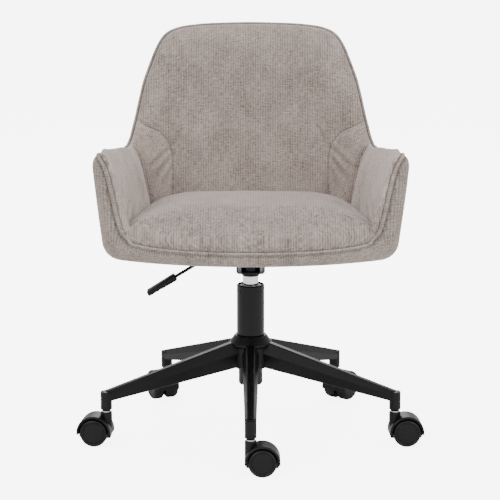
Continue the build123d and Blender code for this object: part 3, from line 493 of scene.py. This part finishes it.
def chenille(name, tone=1.0):
    """Ribbed chenille: fine upright ribs, cross slubs, cloudy nap, painted shade in folds, seams and creases,
    and a soft sheen.
    """
    material, surface, add, link = shader(name)
    threads = add("ShaderNodeAttribute", attribute_name="weave").outputs["Vector"]
    painted_shade = add("ShaderNodeAttribute", attribute_name="painted_shade").outputs["Fac"]
    place = add("ShaderNodeTexCoord").outputs["Object"]
    rib = add("ShaderNodeTexWave", wave_type="BANDS", bands_direction="X")
    rib.inputs["Scale"].default_value = 2 * math.pi / (20 * RIB_PITCH)
    rib.inputs["Distortion"].default_value = 2.4
    rib.inputs["Detail"].default_value = 3.0
    rib.inputs["Detail Scale"].default_value = 1.5
    link(threads, rib.inputs["Vector"])
    slub = noise_at(add, link, threads, (0.22, 1.0, 1.0), 460.0, 2.0)
    thread = noise_at(add, link, threads, (1.0, 0.14, 1.0), 560.0, 2.0)
    speck = noise_at(add, link, threads, (1.0, 1.0, 1.0), 380.0, 3.0, 0.7)
    cloud = noise_at(add, link, place, (1.0, 1.0, 0.8), 30.0, 4.0, 0.6)
    wide = noise_at(add, link, place, (1.0, 1.0, 1.0), 9.0, 2.0, 0.5)
    height = math_node(add, link, "MULTIPLY", rib.outputs["Fac"], WEAVE_LAYERS["rib"])
    for part, layer in ((slub, "slub"), (thread, "thread"), (speck, "speck")):
        share = math_node(add, link, "MULTIPLY", part, WEAVE_LAYERS[layer])
        height = math_node(add, link, "ADD", height, share)
    tint = math_node(add, link, "ADD", height, math_node(add, link, "MULTIPLY", cloud, CLOUD_SHARE))
    tint = math_node(add, link, "ADD", tint, math_node(add, link, "MULTIPLY", wide, WIDE_SHARE))
    spread = math_node(add, link, "DIVIDE", math_node(add, link, "SUBTRACT", tint, TINT_LOW), TINT_SPAN)
    ramp = add("ShaderNodeValToRGB")
    stops = ramp.color_ramp.elements
    for stop, colour in zip(stops, (DARK_THREAD, LIGHT_THREAD)):
        stop.color = (*[part * tone for part in colour], 1)
    link(spread, ramp.inputs["Fac"])
    # painted shade: the thread colour darkened where the mesh marks folds, seams and creases
    darken = math_node(add, link, "SUBTRACT", 1.0, math_node(add, link, "MULTIPLY", painted_shade, FOLD_SHADE))
    shaded = add("ShaderNodeVectorMath", operation="SCALE")
    link(ramp.outputs["Color"], shaded.inputs[0])
    link(darken, shaded.inputs["Scale"])
    link(shaded.outputs[0], surface.inputs["Base Color"])
    relief = add("ShaderNodeBump")
    relief.inputs["Strength"].default_value = 0.6
    relief.inputs["Distance"].default_value = 0.0016
    link(height, relief.inputs["Height"])
    link(relief.outputs["Normal"], surface.inputs["Normal"])
    surface.inputs["Roughness"].default_value = 0.92
    surface.inputs["Specular IOR Level"].default_value = 0.18
    surface.inputs["Sheen Weight"].default_value = 0.55
    surface.inputs["Sheen Roughness"].default_value = 0.38
    surface.inputs["Sheen Tint"].default_value = (0.95, 0.90, 0.86, 1)
    return material


def moulded(name, color, roughness, metallic=0.0, grain=900.0, bump_depth=0.00008, coat=0.0, shine=0.5):
    """Moulded plastic, paint or metal: fine grain in the bump and slow changes of roughness and colour."""
    material, surface, add, link = shader(name)
    place = add("ShaderNodeTexCoord").outputs["Object"]
    fine = noise_at(add, link, place, (1, 1, 1), grain, 3.0)
    broad = noise_at(add, link, place, (1, 1, 1), 22.0, 3.0)
    mix = add("ShaderNodeValToRGB")
    mix.color_ramp.elements[0].color = (*[c * 0.82 for c in color], 1)
    mix.color_ramp.elements[1].color = (*[min(1.0, c * 1.2) for c in color], 1)
    link(broad, mix.inputs["Fac"])
    link(mix.outputs["Color"], surface.inputs["Base Color"])
    rough = math_node(add, link, "MULTIPLY", math_node(add, link, "SUBTRACT", broad, 0.5), 0.16)
    link(math_node(add, link, "ADD", rough, roughness), surface.inputs["Roughness"])
    relief = add("ShaderNodeBump")
    relief.inputs["Strength"].default_value = 0.4
    relief.inputs["Distance"].default_value = bump_depth
    link(fine, relief.inputs["Height"])
    link(relief.outputs["Normal"], surface.inputs["Normal"])
    surface.inputs["Specular IOR Level"].default_value = shine
    surface.inputs["Metallic"].default_value = metallic
    surface.inputs["Coat Weight"].default_value = coat
    surface.inputs["Coat Roughness"].default_value = 0.2
    return material


def plywood(name):
    """Bare plywood with long grain."""
    material, surface, add, link = shader(name)
    place = add("ShaderNodeTexCoord").outputs["Object"]
    grain = noise_at(add, link, place, (1.0, 0.06, 1.0), 160.0, 4.0)
    ramp = add("ShaderNodeValToRGB")
    ramp.color_ramp.elements[0].color = (0.34, 0.21, 0.11, 1)
    ramp.color_ramp.elements[1].color = (0.62, 0.44, 0.27, 1)
    link(grain, ramp.inputs["Fac"])
    link(ramp.outputs["Color"], surface.inputs["Base Color"])
    surface.inputs["Roughness"].default_value = 0.7
    return material


fabric = chenille("chenille", 0.97)
# a lighter copy of the chenille for the arms: painted light for the sheen and light that fall on their faces
fabric_arm_painted_light = chenille("chenille_arm_painted_light", 1.38)
cord_fabric = chenille("chenille_piping", 1.10)
black_base = moulded("satin_black_nylon", (0.004, 0.004, 0.0045), 0.32, grain=1300.0, coat=0.0, shine=0.2)
black_column = moulded("satin_black_paint", (0.004, 0.004, 0.0045), 0.28, grain=1700.0, coat=0.02, shine=0.2)
black_caster = moulded("caster_nylon", (0.005, 0.005, 0.0055), 0.34, grain=1300.0, shine=0.2)
black_wheel = moulded("wheel_nylon", (0.006, 0.006, 0.0065), 0.44, grain=1000.0, shine=0.2)
black_grip = moulded("grip_plastic", (0.006, 0.006, 0.0065), 0.42, grain=900.0, shine=0.2)
natural_plastic = moulded("bush_acetal", (0.72, 0.70, 0.64), 0.42)
chrome = moulded("cylinder_chrome", (0.80, 0.81, 0.83), 0.10, metallic=1.0, bump_depth=0.00002)
steel = moulded("zinc_steel", (0.58, 0.59, 0.60), 0.30, metallic=1.0)
rubber = moulded("buffer_rubber", (0.02, 0.02, 0.02), 0.75)
dust_cloth = moulded("dust_cloth", (0.018, 0.018, 0.018), 0.9, grain=700.0, bump_depth=0.0004)
wood = plywood("plywood")

SLOT_MATERIAL = {
    "cover_fabric": fabric, "dust_cloth": dust_cloth, "board_wood": wood, "base_plastic": black_base,
    "caster_plastic": black_caster, "wheel_plastic": black_wheel, "grip_plastic": black_grip,
    "bush_plastic": natural_plastic, "column_paint": black_column, "cylinder_chrome": chrome, "steel": steel,
    "buffer_rubber": rubber,
}
for entry in frame["record"]["subparts"]:
    node = frame["nodes"][entry["node"]]
    node.data.materials.clear()
    node.data.materials.append(SLOT_MATERIAL[entry["material_slot"]])


# ---------------------------------------------------------------- outer cover
def cover_column(u):
    """Closed profile of the outer cover, from under the seat round the foot to the rim and back inside."""
    top = rim_z(u)
    rise = top - TUB_BOTTOM
    foot = min(FOOT_HEIGHT, 0.8 * rise)
    seam_gap = min(abs(arc_length(u) - arc_length(seam)) for seam in COVER_SEAMS)
    groove = 0.0016 * bump(seam_gap, 0.0022) - 0.0012 * bump(seam_gap - 0.006, 0.004)
    foot_steps, wall_steps = 8, 26
    outside = [(COVER_HEM, TUB_BOTTOM - 0.0003)]
    for k in range(foot_steps):
        angle = 0.5 * math.pi * k / foot_steps
        outside.append((FOOT_INSET * (1 - math.sin(angle)), TUB_BOTTOM + foot * (1 - math.cos(angle))))
    outside += [(0.0, top - (rise - foot) * (1 - k / wall_steps) ** 1.7) for k in range(wall_steps + 1)]
    points, painted_shades = [], []
    for inset, z in outside:
        spot = outer_point(u, z)
        inward = (plan_point(INNER, u, z) - spot).normalized()
        place, distance = nearest_rim(spot)
        roll = place.inset * (1 - rounded(distance / place.cover_roll))
        ripple = 0.0009 * noise.noise(Vector((14 * arc_length(u), 0, 9 * z)))
        points.append(spot + (inset + roll + groove - ripple) * inward)
        # painted shade where the cover rolls in under the piping and along its upright seams
        painted_shades.append(0.9 * bump(distance, 0.0030) + 0.7 * bump(seam_gap, 0.0016))
    middle = Vector((0, -0.03, 0))
    lining = []
    for point in reversed(points[1:-1]):
        middle.z = point.z
        lining.append(point + COVER_THICKNESS * (middle - point).normalized())
    return points + lining, painted_shades + [0.0] * len(lining)


def build_cover():
    columns = even_along_rim(0.0, 2.0, 560)[:-1]
    third = HALF_SAMPLES // 3
    per_metre = 1 / (3 * (ARC_LENGTH[2 * third] - ARC_LENGTH[third]))
    for seam in COVER_SEAMS:
        columns += [seam + per_metre * offset for offset in SEAM_COLUMNS]
    columns.sort()
    profiles = [cover_column(u) for u in columns]
    weave, painted_shades = [], []
    for u, (points, shades) in zip(columns, profiles):
        weave += [(arc_length(u), point.z, 0) for point in points]
        painted_shades += shades
    skin = ring_mesh([points for points, _ in profiles])
    return make_object("outer_cover_sewn", skin, fabric, weave, painted_shades)


outer_cover = build_cover()
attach(outer_cover, "seat")
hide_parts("outer_cover")


# ---------------------------------------------------------------- piping round the rim
def build_piping():
    sides = 10
    columns, weave, painted_shades = [], [], []
    for index, u in enumerate(even_along_rim(0.0, 2.0, 900)[:-1]):
        place = RimPlace(u)
        centre = place.cord_centre()
        radius = PIPING_RADIUS * (1 + 0.05 * noise.noise(Vector((90 * arc_length(u), 1.7, 60 * centre.z))))
        column = []
        for k in range(sides):
            angle = 2 * math.pi * k / sides
            column.append(centre + radius * (math.cos(angle) * place.inward + math.sin(angle) * place.over))
            weave.append((0.0024 * index, radius * angle, 0))
            # painted shade on the cord's lower half, away from the top of the rim
            painted_shades.append(0.6 * (math.sin(angle) < 0.1))
        columns.append(column)
    return make_object("rim_piping_cord", ring_mesh(columns), cord_fabric, weave, painted_shades)


piping = build_piping()
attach(piping, "seat")
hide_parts("rim_piping")


# ---------------------------------------------------------------- inner panels
def seam_place(z):
    """Place where the right seam crosses a height: on the inner face, then out to the wing's edge."""
    low, high = 0.45, 0.999
    for _ in range(24):
        middle = 0.5 * (low + high)
        if plan_point(INNER, middle, z).x > follow(SEAM_LINE, z):
            low = middle
        else:
            high = middle
    return lerp(low, WING_U, smooth((z - SEAM_TURN) / (SEAM_TOP - SEAM_TURN)))


SEAM_ROWS = 240
SEAM_TRACK = []
for i in range(SEAM_ROWS + 1):
    z = lerp(SEAM_TOP, PANEL_BOTTOM, i / SEAM_ROWS)
    SEAM_TRACK.append((seam_place(z), z))
SEAM_TREE = KDTree(2 * len(SEAM_TRACK))
for index, (u, z) in enumerate(SEAM_TRACK):
    SEAM_TREE.insert(plan_point(INNER, u, z), 2 * index)
    SEAM_TREE.insert(plan_point(INNER, 2 - u, z), 2 * index + 1)
SEAM_TREE.balance()

CREASES = [                  # start and end seen from the front (half width, height), width, depth
    ((0.150, 0.498), (0.186, 0.470), 0.0050, 0.0022),
    ((0.147, 0.484), (0.176, 0.448), 0.0055, 0.0020),
    ((0.140, 0.505), (0.122, 0.540), 0.0060, 0.0016),
    ((0.146, 0.466), (0.160, 0.430), 0.0050, 0.0016),
    ((0.205, 0.548), (0.186, 0.556), 0.0035, 0.0018),
]
ARM_CREASES = [              # start and end seen from the side (depth, height), width, depth
    ((-0.140, 0.398), (-0.060, 0.440), 0.0070, 0.0026),
    ((-0.110, 0.392), (-0.020, 0.425), 0.0065, 0.0020),
    ((-0.130, 0.430), (-0.090, 0.480), 0.0080, 0.0018),
    ((0.010, 0.400), (0.060, 0.450), 0.0080, 0.0018),
]


def crease_depth(creases, across, z):
    """Depth of the soft creases at a point, seen flat."""
    depth = 0.0
    for (x0, z0), (x1, z1), width, deep in creases:
        run = Vector((x1 - x0, z1 - z0))
        offset = Vector((across - x0, z - z0))
        share = offset.dot(run) / run.length_squared
        if -0.3 < share < 1.3:
            gap = (offset - share * run).length
            fade = smooth((share + 0.3) / 0.4) * smooth((1.3 - share) / 0.6)
            depth += deep * fade * (bump(gap, width) - 0.5 * bump(gap - 1.6 * width, width))
    return depth


def panel_creases(point, z, arm):
    """Depth of the creases at a point of the panels; the arm's wing shares the back's."""
    if arm and point.y <= WING_Y:
        return crease_depth(ARM_CREASES, point.y, z)
    return crease_depth(CREASES, abs(point.x), z)


def panel_point(u, z, arm):
    """A point of the padded inner face, its painted shade, its depth in the wall and its thread coordinates."""
    spot = outer_point(u, z)
    inner = plan_point(INNER, u, z)
    thickness = (inner - spot).length
    inward = (inner - spot) / thickness
    place, distance = nearest_rim(spot)
    start = place.inset + 0.9 * PIPING_RADIUS
    reach = rounded(distance / place.roll)
    deep = lerp(start, thickness, reach)
    point = spot + deep * inward + place.lift * math.sin(math.pi * reach) * place.over
    seam_gap = SEAM_TREE.find(inner)[2]
    creases = panel_creases(point, z, arm)
    low_down = 1 - smooth((z - SEAM_FADE[0]) / (SEAM_FADE[1] - SEAM_FADE[0]))
    groove = lerp(*SEAM_GROOVE, low_down) * bump(seam_gap, 0.0045) * smooth(distance / 0.010)
    free = smooth(distance / 0.05) * smooth(seam_gap / 0.05)
    swell = free * (0.003 + 0.0022 * noise.noise(Vector((11 * arc_length(u), 3.1, 13 * z))))
    # painted shade: next to the piping, along the seams, in the creases, and on the arms in the crease at their
    # rear and over the wing behind it
    painted_shade = 0.9 * bump(deep - start, 0.0016) if reach < 0.9 else 0.0
    painted_shade += lerp(*SEAM_SHADE, low_down) * bump(seam_gap, 0.0014) + 60 * max(0.0, creases)
    if arm:
        behind_crease = half_place(u) - CORNER_U
        corner = bump(behind_crease, 0.007) * smooth(distance / 0.012)
        swell += ARM_SWELL * free * bump(half_place(u) - ARM_CREST_U, 0.035)
        groove += CORNER_GROOVE * corner
        painted_shade += CORNER_SHADE * corner + WING_SHADE * smooth(behind_crease / 0.012)
    point += (swell - groove - creases * smooth(distance / 0.02)) * inward
    across = math.copysign(point.y - abs(point.x), point.x) if arm else point.x
    fallen = deep * place.over
    threads = (across, z - fallen.z - fallen.y, 0)
    return point, min(1.0, painted_shade), deep, threads


def along(border, share):
    """Point of a border polyline of (u, z) pairs."""
    place = clamp(share) * (len(border) - 1)
    i = min(int(place), len(border) - 2)
    return tuple(lerp(border[i][k], border[i + 1][k], place - i) for k in (0, 1))


def patch(top, bottom, left, right, rows, columns, crowd):
    """Grid of (u, z) inside four borders; rows crowd to the top, and columns to the right if crowd is set."""
    grid = []
    for i in range(rows + 1):
        w = (i / rows) ** 1.7
        row = []
        for j in range(columns + 1):
            s = 1 - (1 - j / columns) ** 1.5 if crowd else j / columns
            a, b, c, d = along(top, s), along(bottom, s), along(left, w), along(right, w)
            corners = (top[0], top[-1], bottom[0], bottom[-1])
            row.append(tuple(
                lerp(a[k], b[k], w) + lerp(c[k], d[k], s)
                - lerp(lerp(corners[0][k], corners[1][k], s), lerp(corners[2][k], corners[3][k], s), w)
                for k in (0, 1)
            ))
        grid.append(row)
    return grid


def build_panel(name, grid, arm, material, node):
    """A padded panel over a grid of (u, z), with a flat backing against the shell."""
    face, backing, weave, painted_shades = [], [], [], []
    for row in grid:
        points, behind = [], []
        for u, z in row:
            z = min(z, rim_z(u))
            point, painted_shade, deep, threads = panel_point(u, z, arm)
            points.append(point)
            spot = outer_point(u, z)
            inward = (plan_point(INNER, u, z) - spot).normalized()
            behind.append(spot + min(BACKING_DEPTH, 0.55 * deep) * inward + Vector((0, 0, -0.001)))
            weave.append(threads)
            painted_shades.append(painted_shade)
        face.append(points)
        backing.append(behind)
    piece = make_object(name, slab_mesh(face, backing), material, weave + weave, painted_shades + painted_shades)
    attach(piece, "seat")
    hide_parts(node)


def mirrored(border):
    return [(2 - u, z) for u, z in border]


rim_of_arm = [(u, rim_z(u)) for u in even_along_rim(WING_U, EDGE_TOP_U, 200)]
rim_of_edge = [(u, rim_z(u)) for u in even_along_rim(EDGE_TOP_U, EDGE_FOOT_U, 100)]
rim_of_back = [(u, rim_z(u)) for u in even_along_rim(WING_U, 2 - WING_U, 400)]
seam = [(WING_U, rim_z(WING_U))] + SEAM_TRACK[1:]
foot_of_arm = [seam[-1], rim_of_edge[-1]]
arm_grid = patch(rim_of_arm, foot_of_arm, seam, rim_of_edge, 56, 150, True)
back_grid = patch(rim_of_back, [seam[-1], mirrored(seam)[-1]], seam, mirrored(seam), 84, 190, False)
left_grid = [mirrored(row) for row in arm_grid]
build_panel("arm_panel_right", arm_grid, True, fabric_arm_painted_light, "arm_pad_right")
build_panel("arm_panel_left", left_grid, True, fabric_arm_painted_light, "arm_pad_left")
build_panel("back_panel", back_grid, False, fabric, "back_pad")


# ---------------------------------------------------------------- seat cushion
def cushion_edge(u):
    """Edge of the cushion's top: at the piping in front, against the panels elsewhere."""
    half = half_place(u)
    side = smooth((half - EDGE_FOOT_U + 0.002) / 0.030)
    z = lerp(rim_z(u) + 0.0015, CUSHION_SIDE, side) if half < 0.4 else CUSHION_SIDE
    spot = outer_point(u, z)
    inner = plan_point(INNER, u, z)
    inward = (inner - spot).normalized()
    at_cord = spot + CUSHION_CORD_GAP * inward
    return at_cord.lerp(inner - CUSHION_TUCK * inward, side)


def cushion_mesh(rings=40, count=300):
    """Crowned closed cushion: a full top that rolls over its front edge, on a flat bottom."""
    builder = bmesh.new()
    centre = Vector((*CUSHION_CENTRE, 0))
    spots = [2.0 * i / count for i in range(count)]
    edges = [cushion_edge(u) for u in spots]
    rows = []
    for r in range(1, rings + 1):
        rho = (r / rings) ** 0.8
        row = []
        for u, edge in zip(spots, edges):
            half = half_place(u)
            front = 1 - smooth((half - 0.5 * EDGE_FOOT_U) / (0.9 * EDGE_FOOT_U))
            fullness = (1 - rho ** 4.2) ** 0.6
            rear = smooth((half - 0.5) / 0.4)
            crown = CUSHION_CROWN - CUSHION_REAR_DROP * rear * rho**2 - CUSHION_FRONT_DROP * front * rho**2
            spot = centre.lerp(Vector((edge.x, edge.y, 0)), rho)
            row.append(builder.verts.new((spot.x, spot.y, lerp(edge.z, crown, fullness))))
        rows.append(row)
    for rho, drop in ((1.0, 0.006), (0.985, 0.012)):
        row = []
        for edge in edges:
            spot = centre.lerp(Vector((edge.x, edge.y, 0)), rho)
            row.append(builder.verts.new((spot.x, spot.y, edge.z - drop)))
        rows.append(row)
    top = builder.verts.new((*CUSHION_CENTRE, CUSHION_CROWN))
    bottom = builder.verts.new((*CUSHION_CENTRE, CUSHION_BOTTOM))
    for a, b in zip(rows, rows[1:]):
        for i in range(count):
            j = (i + 1) % count
            builder.faces.new((a[i], a[j], b[j], b[i]))
    for i in range(count):
        j = (i + 1) % count
        builder.faces.new((top, rows[0][j], rows[0][i]))
        builder.faces.new((bottom, rows[-1][i], rows[-1][j]))
    bmesh.ops.recalc_face_normals(builder, faces=builder.faces)
    return builder


EDGE_PLACES = 600
EDGE_TREE = KDTree(EDGE_PLACES)
for index in range(EDGE_PLACES):
    EDGE_TREE.insert(cushion_edge(2 * index / EDGE_PLACES), index)
EDGE_TREE.balance()


def puff(piece, voxel, cap, frames=20):
    """Sews the piece from an even mesh and inflates it as cloth; its edge stays where it is."""
    select_only(piece)
    remesh = piece.modifiers.new("even", "REMESH")
    remesh.mode = "VOXEL"
    remesh.voxel_size = voxel
    bpy.ops.object.modifier_apply(modifier=remesh.name)
    rest = [vertex.co.copy() for vertex in piece.data.vertices]
    held = piece.vertex_groups.new(name="held")
    for index, spot in enumerate(rest):
        hold = 1 - smooth((EDGE_TREE.find(spot)[2] - 0.004) / 0.03)
        if spot.z < CUSHION_BOTTOM + 0.004:
            hold = 1.0
        held.add([index], hold, "REPLACE")
    cloth = piece.modifiers.new("cloth", "CLOTH")
    cloth.settings.use_pressure = True
    cloth.settings.uniform_pressure_force = 3.0
    cloth.settings.vertex_group_mass = "held"
    cloth.settings.shrink_min = -0.012
    cloth.settings.tension_stiffness = 12
    cloth.settings.bending_stiffness = 0.6
    cloth.settings.quality = 5
    cloth.settings.effector_weights.gravity = 0
    cloth.point_cache.frame_end = frames
    for frame_number in range(1, frames + 1):
        bpy.context.scene.frame_set(frame_number)
    bpy.ops.object.modifier_apply(modifier=cloth.name)
    for vertex, start in zip(piece.data.vertices, rest):
        shift = vertex.co - start
        if shift.length > cap:
            vertex.co = start + shift * (cap / shift.length)
    bpy.context.scene.frame_set(1)
    piece.vertex_groups.clear()
    refine = piece.modifiers.new("refine", "SUBSURF")
    refine.levels = 1
    bpy.ops.object.modifier_apply(modifier=refine.name)


def select_only(piece):
    for other in bpy.context.selected_objects:
        other.select_set(False)
    piece.select_set(True)
    bpy.context.view_layer.objects.active = piece


cushion = make_object("seat_cushion_sewn", cushion_mesh(), fabric)
puff(cushion, voxel=0.0055, cap=0.007)
cushion_points = [vertex.co.copy() for vertex in cushion.data.vertices]
# painted shade along the cushion's edge, where it meets the panels and the piping
fill_attributes(
    cushion.data,
    [(co.x, co.y - co.z, 0) for co in cushion_points],
    [0.85 * bump(EDGE_TREE.find(co)[2], 0.004) for co in cushion_points],
)
cushion.data.polygons.foreach_set("use_smooth", [True] * len(cushion.data.polygons))
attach(cushion, "seat")
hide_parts("seat_cushion")

# ---------------------------------------------------------------- camera, light and floor
PITCH = math.radians(11.87)
camera_data = bpy.data.cameras.new("camera")
camera_data.sensor_width = 36.0
camera_data.lens = 186.4
camera_data.shift_x = -0.0012
camera_data.clip_end = 50.0
camera = bpy.data.objects.new("camera", camera_data)
camera.location = (0.0, -4.57, 1.30)
camera.rotation_euler = (math.pi / 2 - PITCH, 0.0, 0.0)
bpy.context.collection.objects.link(camera)
bpy.context.scene.camera = camera


def area_light(name, place, target, size, power):
    data = bpy.data.lights.new(name, "AREA")
    data.shape = "DISK"
    data.size = size
    data.energy = power
    light = bpy.data.objects.new(name, data)
    light.location = place
    light.rotation_euler = (Vector(target) - Vector(place)).to_track_quat("-Z", "Y").to_euler()
    bpy.context.collection.objects.link(light)


area_light("key_left", (-2.2, -2.4, 2.4), (0, 0, 0.45), 1.8, 60.0)
area_light("fill_right", (2.6, -2.0, 1.9), (0, 0, 0.45), 2.0, 55.0)
area_light("top", (0.0, 0.2, 3.0), (0, 0, 0.4), 2.2, 40.0)
area_light("rim_back", (0.0, 2.6, 1.8), (0, 0, 0.5), 2.0, 30.0)


world = bpy.data.worlds.new("studio")
bpy.context.scene.world = world
world.use_nodes = True
sky = world.node_tree.nodes["Background"]
sky.inputs["Color"].default_value = (1.0, 1.0, 1.0, 1)
sky_add, sky_link = node_tools(world.node_tree)
seen_sky = sky_add("ShaderNodeLightPath").outputs["Is Camera Ray"]
sky_glow = math_node(sky_add, sky_link, "MULTIPLY", seen_sky, BACKDROP_GLOW)
sky_link(math_node(sky_add, sky_link, "ADD", sky_glow, SKY_LIGHT), sky.inputs["Strength"])

floor_material, floor_surface, floor_add, floor_link = shader("floor")
floor_surface.inputs["Base Color"].default_value = (0.92, 0.92, 0.92, 1)
floor_surface.inputs["Roughness"].default_value = 0.9
floor_surface.inputs["Emission Color"].default_value = (1.0, 1.0, 1.0, 1)
seen_floor = floor_add("ShaderNodeLightPath").outputs["Is Camera Ray"]
floor_glow = math_node(floor_add, floor_link, "MULTIPLY", seen_floor, BACKDROP_GLOW)
floor_link(floor_glow, floor_surface.inputs["Emission Strength"])
floor_mesh = bmesh.new()
bmesh.ops.create_grid(floor_mesh, x_segments=1, y_segments=1, size=30.0)
floor = make_object("floor", floor_mesh, floor_material)
